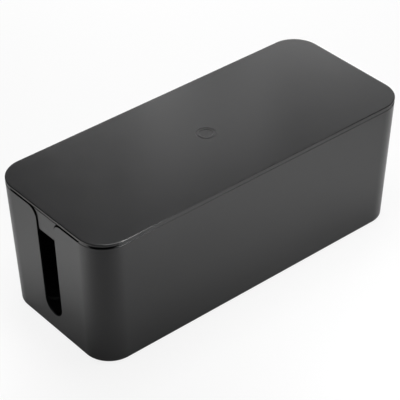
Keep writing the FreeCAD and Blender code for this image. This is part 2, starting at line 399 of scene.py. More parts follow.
# %% [markdown]
# From a tree to a piece
#
# A piece starts as loose points, the places where its tree sets copies. The tree runs as a
# modifier, a bevel rounds the marked edges, and weighted normals keep the flats flat. The
# modifiers could stay live, but the export wants a plain mesh, so the result is frozen.

# %% Helpers: start a piece, run its tree, freeze it
EDGE_STEPS = 3
FLAT_FACES_FIRST = 100


def points_mesh(name, places):
    """Loose points for a tree to put copies on."""
    mesh = bpy.data.meshes.new(name)
    mesh.from_pydata(places, [], [])
    return bpy.data.objects.new(name, mesh)


def tree_modifier(piece, tree, values):
    """Puts the tree on the piece and sets its inputs by their identifiers."""
    modifier = piece.modifiers.new(tree.name, "NODES")
    modifier.node_group = tree
    for item in tree.interface.items_tree:
        if item.in_out == "INPUT" and item.name in values:
            modifier[item.identifier] = values[item.name]


def freeze(piece, round_size):
    """Rounds the marked edges, evens the shading and leaves a plain mesh on the piece."""
    bpy.context.scene.collection.objects.link(piece)
    bevel = piece.modifiers.new("Edge round", "BEVEL")
    bevel.limit_method = "WEIGHT"
    bevel.width = round_size
    bevel.segments = EDGE_STEPS
    bevel.use_clamp_overlap = False
    shading = piece.modifiers.new("Even shading", "WEIGHTED_NORMAL")
    shading.weight = FLAT_FACES_FIRST
    depsgraph = bpy.context.evaluated_depsgraph_get()
    mesh = bpy.data.meshes.new_from_object(piece.evaluated_get(depsgraph))
    finish = next(material for material in mesh.materials if material)
    mesh.materials.clear()
    mesh.materials.append(finish)
    mesh.polygons.foreach_set("material_index", [0] * len(mesh.polygons))
    piece.modifiers.clear()
    piece.data = mesh
    mesh.name = piece.name
    print(piece.name, "faces:", len(mesh.polygons), "finish:", finish.name)


print("edge round, mm:", round(edge_round / MM, 2), "in steps:", EDGE_STEPS)

# %% [markdown]
# The finish of both mouldings
#
# Both mouldings are ABS, coloured black all through. The mould is spark-eroded, which leaves
# a fine even grain of 0.1 to 0.2 mm on the plastic: it spreads the gloss into a satin sheen
# without making the surface rough to the touch. Black plastic has so little colour of its own
# that what the eye reads is this sheen. A picture of grain could be laid on, but noise in real
# millimetres needs no unwrapping and fits every piece. So the material is a near black under a
# gloss whose roughness drifts a little, as handling leaves it, with the grain as a bump. A
# moulded plate is never quite flat either: it sinks a little over its ribs and gate, and a
# long soft wave in the bump stands for that. The outer part of the disc in the lid's middle is
# eroded deeper, so it is a little more matt.

# %% Helpers: a colour, a material
def srgb(code):
    """A hex colour as it is written for the screen, as the linear values that light needs."""
    values = [int(code[place:place + 2], 16) / 255 for place in (1, 3, 5)]
    linear = [v / 12.92 if v <= 0.04045 else ((v + 0.055) / 1.055) ** 2.4 for v in values]
    return (*linear, 1.0)


def new_material(name):
    """An empty material, with its tree and its output."""
    material = bpy.data.materials.new(name)
    material.use_nodes = True
    tree = material.node_tree
    tree.nodes.clear()
    return material, tree, add_node(tree, "ShaderNodeOutputMaterial")


ABS_DARK, ABS_LIGHT = "#1c1c1d", "#1f1f20"
print("the two blacks, linear:", [round(srgb(code)[0], 4) for code in (ABS_DARK, ABS_LIGHT)])

# %% Finish: the mark's matt ring
mark_diameter = 20.5 * MM
mark_ring_width = 1.6 * MM
mark_extra_roughness = 0.08
mark_ring = (mark_diameter / 2 - 2 * mark_ring_width, mark_diameter / 2, mark_extra_roughness)


def matt_ring(tree, place, inner, outer, extra):
    """Extra roughness in a ring round the lid's middle, where the mould is eroded deeper."""
    flat = add_node(tree, "ShaderNodeVectorMath", {0: place, 1: (1, 1, 0)}, operation="MULTIPLY")
    away = add_node(tree, "ShaderNodeVectorMath", {0: flat}, operation="LENGTH").outputs["Value"]
    inside = add_node(tree, "ShaderNodeMath", {0: away, 1: outer}, operation="LESS_THAN")
    beyond = add_node(tree, "ShaderNodeMath", {0: away, 1: inner}, operation="GREATER_THAN")
    ring = add_node(tree, "ShaderNodeMath", {0: inside, 1: beyond}, operation="MULTIPLY")
    return add_node(tree, "ShaderNodeMath", {0: ring, 1: extra}, operation="MULTIPLY")


print("matt ring, mm from the middle:", [round(edge / MM, 2) for edge in mark_ring[:2]])

# %% Finish: moulded ABS, satin black
# Pigment clouds in the plastic, two blacks that differ by a few levels
CLOUD_SIZE = 40 * MM

# Handling and cleaning leave soft patches that are a little glossier; noise seldom leaves 0.3 to 0.7
PATCH_SIZE = 25 * MM
NOISE_LOW, NOISE_HIGH = 0.3, 0.7
SMOOTHEST, ROUGHEST_TRAY, ROUGHEST_LID = 0.23, 0.25, 0.255

# The eroded grain is 0.15 mm on the real part, drawn 1.2 mm wide here so that it shows
GRAIN_SIZE, GRAIN_DEPTH = 1.2 * MM, 0.015 * MM

# Sink marks and cooling leave long waves, a hundredth of a millimetre deep
WAVE_SIZE, WAVE_DEPTH = 70 * MM, 0.01 * MM
ABS_IOR = 1.57


def satin_abs(name, roughest, ring=None):
    """Black ABS from a spark-eroded mould: satin, finely grained, hardly any colour."""
    material, tree, output = new_material(name)
    place = add_node(tree, "ShaderNodeTexCoord").outputs["Object"]
    clouds = add_node(tree, "ShaderNodeTexNoise", {
        "Vector": place, "Scale": 1 / CLOUD_SIZE, "Detail": 2.0, "Roughness": 0.5,
    })
    colour = add_node(tree, "ShaderNodeMix", {
        "Factor": clouds.outputs[0], "A": srgb(ABS_DARK), "B": srgb(ABS_LIGHT),
    }, data_type="RGBA")
    patches = add_node(tree, "ShaderNodeTexNoise", {
        "Vector": place, "Scale": 1 / PATCH_SIZE, "Detail": 3.0, "Roughness": 0.55,
    })
    rough = add_node(tree, "ShaderNodeMapRange", {
        "Value": patches.outputs[0],
        "From Min": NOISE_LOW, "From Max": NOISE_HIGH, "To Min": SMOOTHEST, "To Max": roughest,
    })
    if ring:
        matt = matt_ring(tree, place, *ring)
        rough = add_node(tree, "ShaderNodeMath", {0: rough, 1: matt}, operation="ADD")
    grain = add_node(tree, "ShaderNodeTexNoise", {
        "Vector": place, "Scale": 1 / GRAIN_SIZE, "Detail": 2.0, "Roughness": 0.6,
    })
    grained = add_node(tree, "ShaderNodeBump", {
        "Height": grain.outputs[0], "Strength": 0.5, "Distance": GRAIN_DEPTH,
    })
    waves = add_node(tree, "ShaderNodeTexNoise", {
        "Vector": place, "Scale": 1 / WAVE_SIZE, "Detail": 1.0, "Roughness": 0.4,
    })
    waved = add_node(tree, "ShaderNodeBump", {
        "Height": waves.outputs[0], "Strength": 1.0, "Distance": WAVE_DEPTH, "Normal": grained,
    })
    shader = add_node(tree, "ShaderNodeBsdfPrincipled", {
        "Base Color": colour, "Roughness": rough, "Normal": waved,
        "IOR": ABS_IOR, "Specular IOR Level": 0.5,
    })
    tree.links.new(shader.outputs["BSDF"], output.inputs["Surface"])
    return material


tray_plastic = satin_abs("Moulded ABS, satin black, tray", ROUGHEST_TRAY)
lid_plastic = satin_abs("Moulded ABS, satin black, lid", ROUGHEST_LID, mark_ring)
print("materials:", tray_plastic.name, "and", lid_plastic.name)

# %% [markdown]
# The finish of the feet
#
# The feet are black rubber, pressed to shape in a hot mould. Rubber is matt because its skin is
# pebbled at about half a millimetre, and it picks up dust, which lifts the black unevenly. So
# it is a high roughness, a bump of pebbles, and a noise between two dark greys. A plain dark
# grey would do from afar, but it would look like the plastic in a close view from below.

# %% Finish: moulded rubber, matt black
DUST_SIZE = 3 * MM
PEBBLE_SIZE, PEBBLE_DEPTH = 0.5 * MM, 0.05 * MM
RUBBER_IOR, RUBBER_ROUGHNESS = 1.52, 0.82


def foot_rubber():
    """Compression-moulded black rubber: soft-looking, nearly no gloss, faintly dusty."""
    material, tree, output = new_material("Moulded rubber, matt black")
    place = add_node(tree, "ShaderNodeTexCoord").outputs["Object"]
    dust = add_node(tree, "ShaderNodeTexNoise", {
        "Vector": place, "Scale": 1 / DUST_SIZE, "Detail": 4.0, "Roughness": 0.6,
    })
    colour = add_node(tree, "ShaderNodeMix", {
        "Factor": dust.outputs[0], "A": srgb("#1c1c1d"), "B": srgb("#2a2a2a"),
    }, data_type="RGBA")
    pebbles = add_node(tree, "ShaderNodeTexNoise", {
        "Vector": place, "Scale": 1 / PEBBLE_SIZE, "Detail": 2.0,
    })
    pebbled = add_node(tree, "ShaderNodeBump", {
        "Height": pebbles.outputs[0], "Strength": 0.5, "Distance": PEBBLE_DEPTH,
    })
    shader = add_node(tree, "ShaderNodeBsdfPrincipled", {
        "Base Color": colour, "Roughness": RUBBER_ROUGHNESS, "Normal": pebbled, "IOR": RUBBER_IOR,
    })
    tree.links.new(shader.outputs["BSDF"], output.inputs["Surface"])
    return material


rubber = foot_rubber()
print("material:", rubber.name)

# %% [markdown]
# The tray's outlines
#
# The tray is one moulding: four thin walls that lean out towards the top, a floor, and a
# rounded edge underneath. Each end wall has an open-topped slot for cables, with soft
# shoulders. The rim stops short of the lid, so a dark reveal shows at the ends. On the rim of
# each long wall stands a lip that carries the lid, set back by less than half a millimetre, so
# that hardly a line shows there. It follows the corners a little way and ends in slopes, and a
# short lip stands beside each corner on the end wall, so the reveal closes on both sides of a
# corner. All this could be shaped on the mesh itself, but each form is drawn once as a flat
# outline instead, as on the mould maker's sheet.

# %% Tray: the walls and the slot, drawn
notch_width = 28.4 * MM
notch_bottom_radius = 13.4 * MM
notch_bottom_height = 35.2 * MM
shoulder_radius = 11.2 * MM
base_edge_radius = 1.6 * MM
floor_cove_radius = 1.2 * MM


def wall_inset(z):
    """How far the outer face lies inside the lid's edge at height z."""
    return lean * (lid_underside - z)


def leaning_profile(low, high, inset, edge_radius):
    """Profile points: a rounded lower edge, then the leaning face up to the higher level."""
    across = wall_inset(low + edge_radius) + inset + edge_radius / math.cos(draft)
    last = 180 + math.degrees(draft)
    rounded = arc((across, low + edge_radius), edge_radius, 270, last, ROUND_STEPS)
    return rounded + [(wall_inset(high) + inset, high)]


def slot_points():
    """The cable slot seen from the end, counted from the left of its mouth down and round."""
    shoulder_across = notch_width / 2 + shoulder_radius
    centre = (-shoulder_across, rim_height - shoulder_radius)
    left = arc(centre, shoulder_radius, 90, 0, 3 * ROUND_STEPS)
    bottom = arc((0, notch_bottom_height), notch_bottom_radius, 180, 360, 6 * ROUND_STEPS)
    right = [(-across, up) for across, up in reversed(left)]
    mouth = [(shoulder_across, height + overrun), (-shoulder_across, height + overrun)]
    return left + bottom + right + mouth


outside_line = leaning_profile(base_height, rim_height, 0, base_edge_radius)
hollow_line = leaning_profile(floor_top, height + overrun, wall, floor_cove_radius)
print("the wall leans in by, mm:", round(wall_inset(base_height) / MM, 2))

# %% Tray: the lips, drawn
lip_root = rim_height - wall
lip_setback = 0.45 * MM
lip_wrap = 3.5 * MM
lip_end_slope = 8.0 * MM
end_lip_width = 8.0 * MM
end_lip_slope = 3.5 * MM
end_lip_wrap = 11.0 * MM


def lip_points(middle, half, slope):
    """A lip seen square to its wall: as wide as twice the half on top, with sloped ends."""
    return [
        (middle - half, lid_underside),
        (middle - half - slope, rim_height),
        (middle - half - slope, lip_root),
        (middle + half + slope, lip_root),
        (middle + half + slope, rim_height),
        (middle + half, lid_underside),
    ]


long_lip_half = length / 2 - corner_radius + lip_wrap
end_lip_half = end_lip_width / 2
end_lip_middle = width / 2 - corner_radius + end_lip_wrap - end_lip_half
tray_drawings = drawings({
    "Outer profile": (outside_line, "XZ", False),
    "Hollow profile": (hollow_line, "XZ", False),
    "Lip profile": ([(lip_setback, lip_root), (lip_setback, lid_underside)], "XZ", False),
    "Slot outline": (slot_points(), "YZ", True),
    "Long lip outline": (lip_points(0, long_lip_half, lip_end_slope), "XZ", True),
    "End lip outline": (lip_points(end_lip_middle, end_lip_half, end_lip_slope), "YZ", True),
})
print("tray points:", {name: len(line.data.vertices) for name, line in tray_drawings.items()})

# %% [markdown]
# The tray's lips and foot seats
#
# The lips are thin walls that bend with the corners. Each could be swept along its own stretch
# of the rim, but the wall under the lid's edge is already a rounded block, so the tree makes
# that whole ring and keeps it only where three bars cross it. A foot's seat is a round pocket
# from below, and inside the tray it shows as a low raised pad with a sloped edge.

# %% Tray: lips and foot seats
FOOT_STEPS = 64


def tray_lips(tree, given, reach_y, back, along):
    """A ring under the lid's edge, kept where one long bar and two end bars cross it."""
    ring = block_from(tree, given, "Lip profile")
    across = add_node(tree, "ShaderNodeVectorMath", {0: reach_y, "Scale": -2.0}, operation="SCALE")
    long_bar = prism_of(tree, given, "Long lip outline", reach_y, across)
    end_bar = prism_of(tree, given, "End lip outline", back, along)
    other_end_bar = add_node(tree, "GeometryNodeTransform", {
        "Geometry": end_bar, "Rotation": HALF_TURN,
    })
    bars = joined(tree, "UNION", [long_bar, end_bar, other_end_bar])
    return joined(tree, "INTERSECT", [ring, bars])


def foot_seats(tree, given):
    """The pockets that are cut under the feet, and the pads that stand over them."""
    pocket = add_node(tree, "GeometryNodeMeshCylinder", {
        "Vertices": FOOT_STEPS, "Radius": given["Pocket radius"], "Depth": given["Pocket depth"],
    })
    pad = add_node(tree, "GeometryNodeMeshCone", {
        "Vertices": FOOT_STEPS,
        "Radius Top": given["Pad top radius"],
        "Radius Bottom": given["Pad radius"],
        "Depth": given["Pad depth"],
    })
    pad_places = add_node(tree, "GeometryNodeSetPosition", {
        "Geometry": given["Foot places"], "Offset": given["Pad lift"],
    })
    return copies_on(tree, given["Foot places"], pocket), copies_on(tree, pad_places, pad)


print("a foot's pocket has", FOOT_STEPS, "sides")

# %% [markdown]
# The tray's tree
#
# A mould maker thinks of the tray as a block, less a hollow, less the slots, so the tree does
# the same with booleans. A shell with a thickness would be simpler, but its slots and pockets
# would need cuts all the same. This way every edge lies where the construction model has it,
# and the edges are rounded last.

# %% Tray: the tree
def tray_tree():
    """Block and lips, less the hollow, the slots and the foot pockets, plus the pads."""
    tree = new_tree("Tray", {
        "NodeSocketGeometry": ["Foot places"],
        "NodeSocketObject": list(tray_drawings),
        "NodeSocketFloat": BLOCK_SIZES + [
            "Pocket radius", "Pocket depth", "Pad radius", "Pad top radius", "Pad depth",
        ],
        "NodeSocketVector": ["Pad lift"],
        "NodeSocketMaterial": ["Finish"],
    })
    given = add_node(tree, "NodeGroupInput").outputs
    outer = block_from(tree, given, "Outer profile")
    hollow = block_from(tree, given, "Hollow profile")

    # The slots and bars run a whole length, or width, to each side of the middle
    reach = add_node(tree, "ShaderNodeCombineXYZ", {0: given["Length"]})
    reach_y = add_node(tree, "ShaderNodeCombineXYZ", {1: given["Width"]})
    back = add_node(tree, "ShaderNodeVectorMath", {0: reach, "Scale": -1.0}, operation="SCALE")
    along = add_node(tree, "ShaderNodeVectorMath", {0: reach, "Scale": 2.0}, operation="SCALE")
    slots = prism_of(tree, given, "Slot outline", back, along)
    lips = tray_lips(tree, given, reach_y, back, along)
    pockets, pads = foot_seats(tree, given)

    walled = joined(tree, "UNION", [outer, lips])
    opened = joined(tree, "DIFFERENCE", [hollow, slots, pockets], walled)
    finish_tree(tree, given, joined(tree, "UNION", [opened, pads]))
    return tree


tray_nodes = tray_tree()
print("tray tree:", len(tray_nodes.nodes), "nodes")

# %% [markdown]
# The tray, made
#
# The tree stands on the four foot places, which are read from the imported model. The pads are
# cones that start halfway down in the floor, so that no face of a pad lies on a face of the
# floor, which would leave a boolean in doubt.

# %% Tray: the piece
pad_wall = 3.0 * MM
pad_height = 1.4 * MM
pad_slope = 1.0 * MM
foot_clearance = 0.25 * MM

feet = [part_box(name) for name in sorted(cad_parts) if name.startswith("foot_")]
foot_places = [((low.x + high.x) / 2, (low.y + high.y) / 2, 0) for low, high in feet]
foot_radius = (foot_high.x - foot_low.x) / 2
pad_root = floor_thickness / 2
pad_radius = foot_radius + pad_wall + pad_slope
pad_spread = pad_slope * pad_root / pad_height
box_sizes = {
    "Length": length, "Width": width, "Corner radius": corner_radius, "Top level": lid_underside,
}

tray = points_mesh("tray_moulding", foot_places)
tree_modifier(tray, tray_nodes, {
    **tray_drawings,
    **box_sizes,
    "Radius gain": radius_gain,
    "Pocket radius": foot_radius + foot_clearance,
    "Pocket depth": 2 * foot_high.z,
    "Pad radius": pad_radius + pad_spread,
    "Pad top radius": pad_radius - pad_slope,
    "Pad depth": pad_height + pad_root,
    "Pad lift": (0, 0, floor_top - pad_root),
    "Finish": tray_plastic,
})
freeze(tray, edge_round)
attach(tray, "box")
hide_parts("box_body")

# %% [markdown]
# The lid's outlines
#
# The lid is one moulding too. Its plate is flat with a soft upper edge, flush with the walls.
# A tongue hangs from each end and closes the mouth of the cable slot, following the shoulders
# at an even gap, and two small gussets brace it from behind. Two long ribs find the inside of
# the long walls, and low cross ribs keep the plate from sagging. The tongue's outline could be
# copied from the picture, but it is worked out from the slot's own sizes and a gap, as the two
# have to fit.

# %% Lid: the plate's edge and the tongue, drawn
lid_thickness = height - lid_underside
plate_middle = lid_underside + lid_thickness / 2
lid_top_radius = 1.0 * MM
lid_under_round = 0.3 * MM
tongue_gap = 1.5 * MM
tongue_setback = 1.3 * MM
tongue_thickness = 2.2 * MM
tongue_drop = 25.4 * MM
tongue_tip_narrowing = 0.5 * MM
tongue_corner_radius = 1.5 * MM
tongue_flare_width = 41.0 * MM


def plate_profile():
    """The lid's edge from below: a small round, the upright edge, the softer upper round."""
    under = (lid_under_round, lid_underside + lid_under_round)
    upper = (lid_top_radius, height - lid_top_radius)
    return (
        arc(under, lid_under_round, 270, 180, ROUND_STEPS)
        + arc(upper, lid_top_radius, 180, 90, ROUND_STEPS)
    )


def tongue_points():
    """The tongue seen from the end, from its top left down and round to its top right."""
    half = notch_width / 2 - tongue_gap
    tip_half = half - tongue_tip_narrowing
    shoulder = (-(notch_width / 2 + shoulder_radius), rim_height - shoulder_radius)
    flare_radius = shoulder_radius + tongue_gap
    flare_half = tongue_flare_width / 2
    flare_angle = math.degrees(math.acos((-shoulder[0] - flare_half) / flare_radius))
    tip = lid_underside - tongue_drop
    corner = (tongue_corner_radius - tip_half, tip + tongue_corner_radius)
    flare = arc(shoulder, flare_radius, flare_angle, 0, 2 * ROUND_STEPS)
    corner_round = arc(corner, tongue_corner_radius, 180, 270, ROUND_STEPS)
    left = [(-flare_half, plate_middle)] + flare + corner_round
    return left + [(-across, up) for across, up in reversed(left)]


print("the plate is, mm:", round(lid_thickness / MM, 2), "the tongue's outline:", len(tongue_points()))

# %% Lid: the gusset and the long rib, drawn
gusset_leg = 11.0 * MM
rib_clearance = 0.5 * MM
rib_thickness = 1.8 * MM
rib_depth = 7.0 * MM
rib_taper = math.radians(1.5)


def gusset_points():
    """A brace behind the tongue, seen along the end wall, with its root in plate and tongue."""
    face = length / 2 - tongue_setback - tongue_thickness
    foot = lid_underside - gusset_leg
    buried = tongue_thickness / 2
    return [
        (face + buried, plate_middle),
        (face - gusset_leg, plate_middle),
        (face - gusset_leg, lid_underside),
        (face - wall_inset(foot), foot),
        (face - wall_inset(foot) + buried, foot),
    ]


def long_rib_points():
    """The rib that finds the inside of a long wall, seen from the end; its tip is thinner."""
    root = width / 2 - wall - rib_clearance - lean * rib_depth
    tip = lid_underside - rib_depth
    thinned = root - rib_thickness + rib_depth * math.tan(rib_taper)
    return [
        (root, plate_middle),
        (root - rib_thickness, plate_middle),
        (root - rib_thickness, lid_underside),
        (thinned, tip),
        (root, tip),
    ]


lid_drawings = drawings({
    "Plate profile": (plate_profile(), "XZ", False),
    "Tongue outline": (tongue_points(), "YZ", True),
    "Gusset outline": (gusset_points(), "XZ", True),
    "Long rib outline": (long_rib_points(), "YZ", True),
})
print("lid points:", {name: len(line.data.vertices) for name, line in lid_drawings.items()})

# %% [markdown]
# One end of the lid
#
# The tongue is drawn upright and then leaned, so that it follows the leaning wall. A fine
# groove across its root carries on the dark line under the lid's edge. It could be a dark
# stripe in the finish, but a real groove is dark from every side. The two ends are the same
# turned half round, so the tree makes one end, with its gussets and one long rib, and the lid
# takes a turned copy of it.

# %% Lid: one end
def lid_end(tree, given):
    """One tongue with its groove and gussets, and the long rib of one wall."""
    upright = prism_of(
        tree, given, "Tongue outline", given["Tongue start"], given["Tongue thickness"]
    )
    groove = add_node(tree, "GeometryNodeMeshCube", {"Size": given["Groove size"]})
    groove_cut = add_node(tree, "GeometryNodeTransform", {
        "Geometry": groove, "Translation": given["Groove place"],
    })
    grooved = joined(tree, "DIFFERENCE", [groove_cut], upright)

    # Each point slides outwards as far as it lies above the lid's underside, times the lean
    place = add_node(tree, "ShaderNodeSeparateXYZ", {0: add_node(tree, "GeometryNodeInputPosition")})
    rise = add_node(
        tree, "ShaderNodeMath", {0: place.outputs["Z"], 1: given["Top level"]}, operation="SUBTRACT"
    )
    slide = add_node(tree, "ShaderNodeMath", {0: rise, 1: given["Lean"]}, operation="MULTIPLY")
    tongue = add_node(tree, "GeometryNodeSetPosition", {
        "Geometry": grooved, "Offset": add_node(tree, "ShaderNodeCombineXYZ", {0: slide}),
    })

    gusset = prism_of(
        tree, given, "Gusset outline", given["Gusset start"], given["Gusset thickness"]
    )
    gusset_places = add_node(tree, "GeometryNodeMeshLine", {
        "Count": 2, "Offset": given["Gusset spacing"],
    })
    gussets = copies_on(tree, gusset_places, gusset)
    rib = prism_of(
        tree, given, "Long rib outline", given["Long rib start"], given["Long rib length"]
    )
    return joined(tree, "UNION", [tongue, gussets, rib])


print("the tongue leans by, mm:", round(lean * tongue_drop / MM, 2))

# %% [markdown]
# The moulding mark
#
# In the middle of the lid, over the place where the plastic was let in, sits a plain shallow
# disc with one ring that stays standing, and the gate's small dimple. Steps this low could be a
# bump in the finish, but cut in the mesh they catch the light from every side. Their edges are
# lower than the usual round, so they are marked for a quarter of it.

# %% Lid: the moulding mark
MARK_STEPS = 96

# The disc inside the ring is this deep, in metres, so that it cuts right through the mark
RIGHT_THROUGH = 1.0

# The finely marked edges reach this many times as far as the mark
FINE_REACH = 1.2


def disc_at(tree, radius, depth, place):
    """A disc for the moulding mark, centred on its place."""
    disc = add_node(tree, "GeometryNodeMeshCylinder", {
        "Vertices": MARK_STEPS, "Radius": radius, "Depth": depth,
    })
    return add_node(tree, "GeometryNodeTransform", {"Geometry": disc, "Translation": place})


def marked_plate(tree, given, plate):
    """The plate, less a shallow disc whose ring stays standing, and less the gate's dimple."""
    middle = given["Mark place"]
    twice = add_node(tree, "ShaderNodeMath", {0: given["Mark depth"], 1: 2.0}, operation="MULTIPLY")
    ring_outer = add_node(
        tree, "ShaderNodeMath", {0: given["Mark radius"], 1: given["Mark ring width"]},
        operation="SUBTRACT",
    )
    ring_inner = add_node(
        tree, "ShaderNodeMath", {0: ring_outer, 1: given["Mark ring width"]}, operation="SUBTRACT"
    )
    disc = disc_at(tree, given["Mark radius"], twice, middle)
    ring_disc = disc_at(tree, ring_outer, RIGHT_THROUGH, middle)
    inner_disc = disc_at(tree, ring_inner, twice, middle)
    gate = disc_at(tree, given["Gate radius"], given["Gate depth"], middle)
    outer_cut = joined(tree, "DIFFERENCE", [ring_disc], disc)
    return joined(tree, "DIFFERENCE", [outer_cut, inner_disc, gate], plate)


print("a disc of the mark has", MARK_STEPS, "sides")

# %% [markdown]
# The lid's tree
#
# The plate with its mark, both ends and the cross ribs are united in one boolean, so that the
# lid is one closed skin, as a moulding is. Laid together without it, they would look the same
# in the picture, but hidden faces would be left inside.

# %% Lid: the tree
def lid_tree():
    """Plate less the mark, plus both ends' tongues and gussets, long ribs and cross ribs."""
    tree = new_tree("Lid", {
        "NodeSocketGeometry": ["Rib places"],
        "NodeSocketObject": list(lid_drawings),
        "NodeSocketFloat": BLOCK_SIZES + [
            "Lean", "Mark radius", "Mark ring width", "Mark depth", "Gate radius", "Gate depth",
            "Fine edge share",
        ],
        "NodeSocketVector": [
            "Tongue start", "Tongue thickness", "Groove size", "Groove place", "Gusset start",
            "Gusset thickness", "Gusset spacing", "Long rib start", "Long rib length",
            "Cross rib size", "Mark place",
        ],
        "NodeSocketMaterial": ["Finish"],
    })
    given = add_node(tree, "NodeGroupInput").outputs
    plate = marked_plate(tree, given, block_from(tree, given, "Plate profile"))
    half = lid_end(tree, given)
    other_half = add_node(tree, "GeometryNodeTransform", {"Geometry": half, "Rotation": HALF_TURN})
    cross_rib = add_node(tree, "GeometryNodeMeshCube", {"Size": given["Cross rib size"]})
    cross_ribs = copies_on(tree, given["Rib places"], cross_rib)

    whole = joined(tree, "UNION", [plate, half, other_half, cross_ribs])
    reach = add_node(
        tree, "ShaderNodeMath", {0: given["Mark radius"], 1: FINE_REACH}, operation="MULTIPLY"
    )
    finish_tree(tree, given, whole, reach, given["Fine edge share"])
    return tree


lid_nodes = lid_tree()
print("lid tree:", len(lid_nodes.nodes), "nodes")

# %% [markdown]
# The lid, made
#
# The cross ribs stand at an even pitch, so the lid starts as one point for each of them. All
# roots reach up to the middle of the plate, for the same reason as the pads of the tray.

# %% Lid: the piece
rib_length = 318.0 * MM
cross_rib_count = 5
cross_rib_pitch = 58.0 * MM
cross_rib_depth = 3.0 * MM
cross_rib_thickness = 1.4 * MM
groove_start = 0.8 * MM
groove_end = 2.8 * MM
groove_depth = 0.8 * MM
gusset_thickness = 1.6 * MM
gusset_spacing = 15.0 * MM
mark_depth = 0.3 * MM
mark_edge_share = 0.25
gate_diameter = 3.0 * MM
gate_depth = 0.2 * MM

rib_reach = width / 2 - wall - rib_clearance - lean * rib_depth - rib_thickness / 2
rib_level = lid_underside + (lid_thickness / 2 - cross_rib_depth) / 2
rib_places = []
for number in range(cross_rib_count):
    rib_places.append(((number - (cross_rib_count - 1) / 2) * cross_rib_pitch, 0, rib_level))

lid = points_mesh("lid_moulding", rib_places)
tree_modifier(lid, lid_nodes, {
    **lid_drawings,
    **box_sizes,
    "Radius gain": 0.0,
    "Lean": lean,
    "Tongue start": (length / 2 - tongue_setback - tongue_thickness, 0, 0),
    "Tongue thickness": (tongue_thickness, 0, 0),
    "Groove size": (2 * groove_depth, 2 * tongue_flare_width, groove_end - groove_start),
    "Groove place": (
        length / 2 - tongue_setback, 0, lid_underside - (groove_start + groove_end) / 2
    ),
    "Gusset start": (0, (gusset_thickness - gusset_spacing) / 2, 0),
    "Gusset thickness": (0, -gusset_thickness, 0),
    "Gusset spacing": (0, gusset_spacing, 0),
    "Long rib start": (-rib_length / 2, 0, 0),
    "Long rib length": (rib_length, 0, 0),
    "Cross rib size": (cross_rib_thickness, 2 * rib_reach, cross_rib_depth + lid_thickness / 2),
    "Mark radius": mark_diameter / 2,
    "Mark ring width": mark_ring_width,
    "Mark depth": mark_depth,
    "Gate radius": gate_diameter / 2,
    "Gate depth": 2 * (mark_depth + gate_depth),
    "Mark place": (0, 0, height),
    "Fine edge share": mark_edge_share,
    "Finish": lid_plastic,
})
freeze(lid, edge_round)
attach(lid, "lid")
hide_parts("lid")

# %% [markdown]
# The feet
#
# Four rubber discs are pressed into the pockets under the tray, so that the box stays put on a
# desk. Their lower edge is rounded, as moulded rubber usually is. They could be turned from a
# profile, but a disc is a rounded block whose length, width and corner radius agree, so the
# same node group makes it, and the tree sets a copy on each foot place.

# %% Feet
foot_edge_radius = 0.6 * MM


def feet_tree():
    """One disc from the rounded block, set on every foot place."""
    tree = new_tree("Feet", {
        "NodeSocketGeometry": ["Foot places"],
        "NodeSocketObject": ["Foot profile"],
        "NodeSocketFloat": BLOCK_SIZES,
        "NodeSocketMaterial": ["Finish"],
    })
    given = add_node(tree, "NodeGroupInput").outputs
    discs = copies_on(tree, given["Foot places"], block_from(tree, given, "Foot profile"))
    # A disc has no straight stretches, so the two points that would bound each are merged
    closed = add_node(tree, "GeometryNodeMergeByDistance", {"Geometry": discs, "Distance": SAME_PLACE})
    finish_tree(tree, given, closed)
    return tree


foot_line = arc((foot_edge_radius, foot_edge_radius), foot_edge_radius, 270, 180, ROUND_STEPS)
rubber_feet = points_mesh("rubber_feet", foot_places)
tree_modifier(rubber_feet, feet_tree(), {
    "Foot profile": drawing("Foot profile", foot_line + [(0, foot_high.z)], "XZ", False),
    "Length": 2 * foot_radius,
    "Width": 2 * foot_radius,
    "Corner radius": foot_radius,
    "Radius gain": 0.0,
    "Top level": foot_high.z,
    "Finish": rubber,
})
freeze(rubber_feet, foot_clearance)
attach(rubber_feet, "box")
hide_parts(*[name for name in sorted(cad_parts) if name.startswith("foot_")])

# %% [markdown]
# The camera
#
# The picture was taken with a long lens from the front left, looking down at the box by about
# 37 degrees. The camera could be set by eye, but the values come from fitting the box's
# outline: direction and height of view, distance, a slight roll, and the point that the lens
# looks at.

# %% Camera
view_azimuth = math.radians(-39.86)
view_elevation = math.radians(36.54)
view_roll = math.radians(-0.46)
view_distance = 1739.8 * MM
view_target = Vector((-2.28 * MM, 7.61 * MM, 63.88 * MM))
focal_length_mm = 152.18
sensor_width_mm = 36.0


def camera_turn():
    """The camera's axes, right and up in the picture and back towards the viewer, and back."""
    back = Vector((
        math.sin(view_azimuth) * math.cos(view_elevation),
        -math.cos(view_azimuth) * math.cos(view_elevation),
        math.sin(view_elevation),
    ))
    right = Vector((math.cos(view_azimuth), math.sin(view_azimuth), 0))
    up = back.cross(right)
    rolled_right = right * math.cos(view_roll) + up * math.sin(view_roll)
    rolled_up = up * math.cos(view_roll) - right * math.sin(view_roll)
    return Matrix((rolled_right, rolled_up, back)).transposed(), back


camera_data = bpy.data.cameras.new("Camera")
camera_data.lens = focal_length_mm
camera_data.sensor_width = sensor_width_mm
camera = bpy.data.objects.new("Camera", camera_data)
bpy.context.scene.collection.objects.link(camera)
turn, backwards = camera_turn()
camera.matrix_world = Matrix.Translation(view_target + backwards * view_distance) @ turn.to_4x4()
bpy.context.scene.camera = camera
print("camera at, mm:", [round(v / MM) for v in camera.location])

# %% [markdown]
# Floor and background
#
# The picture stands on plain white. The floor is a real pale surface for the light that
# falls on it, so that its lit parts and the shadow at the foot of the box are what the walls
# mirror: that is what makes a black wall fade towards its foot. More light would turn the floor
# white too, but it would lift the box as well. So the floor is lifted towards white in its own
# material, only where it is looked at, and it keeps a faint shadow. Gloss sees a small share of
# that lift, or the walls would lose the shadow that they mirror.

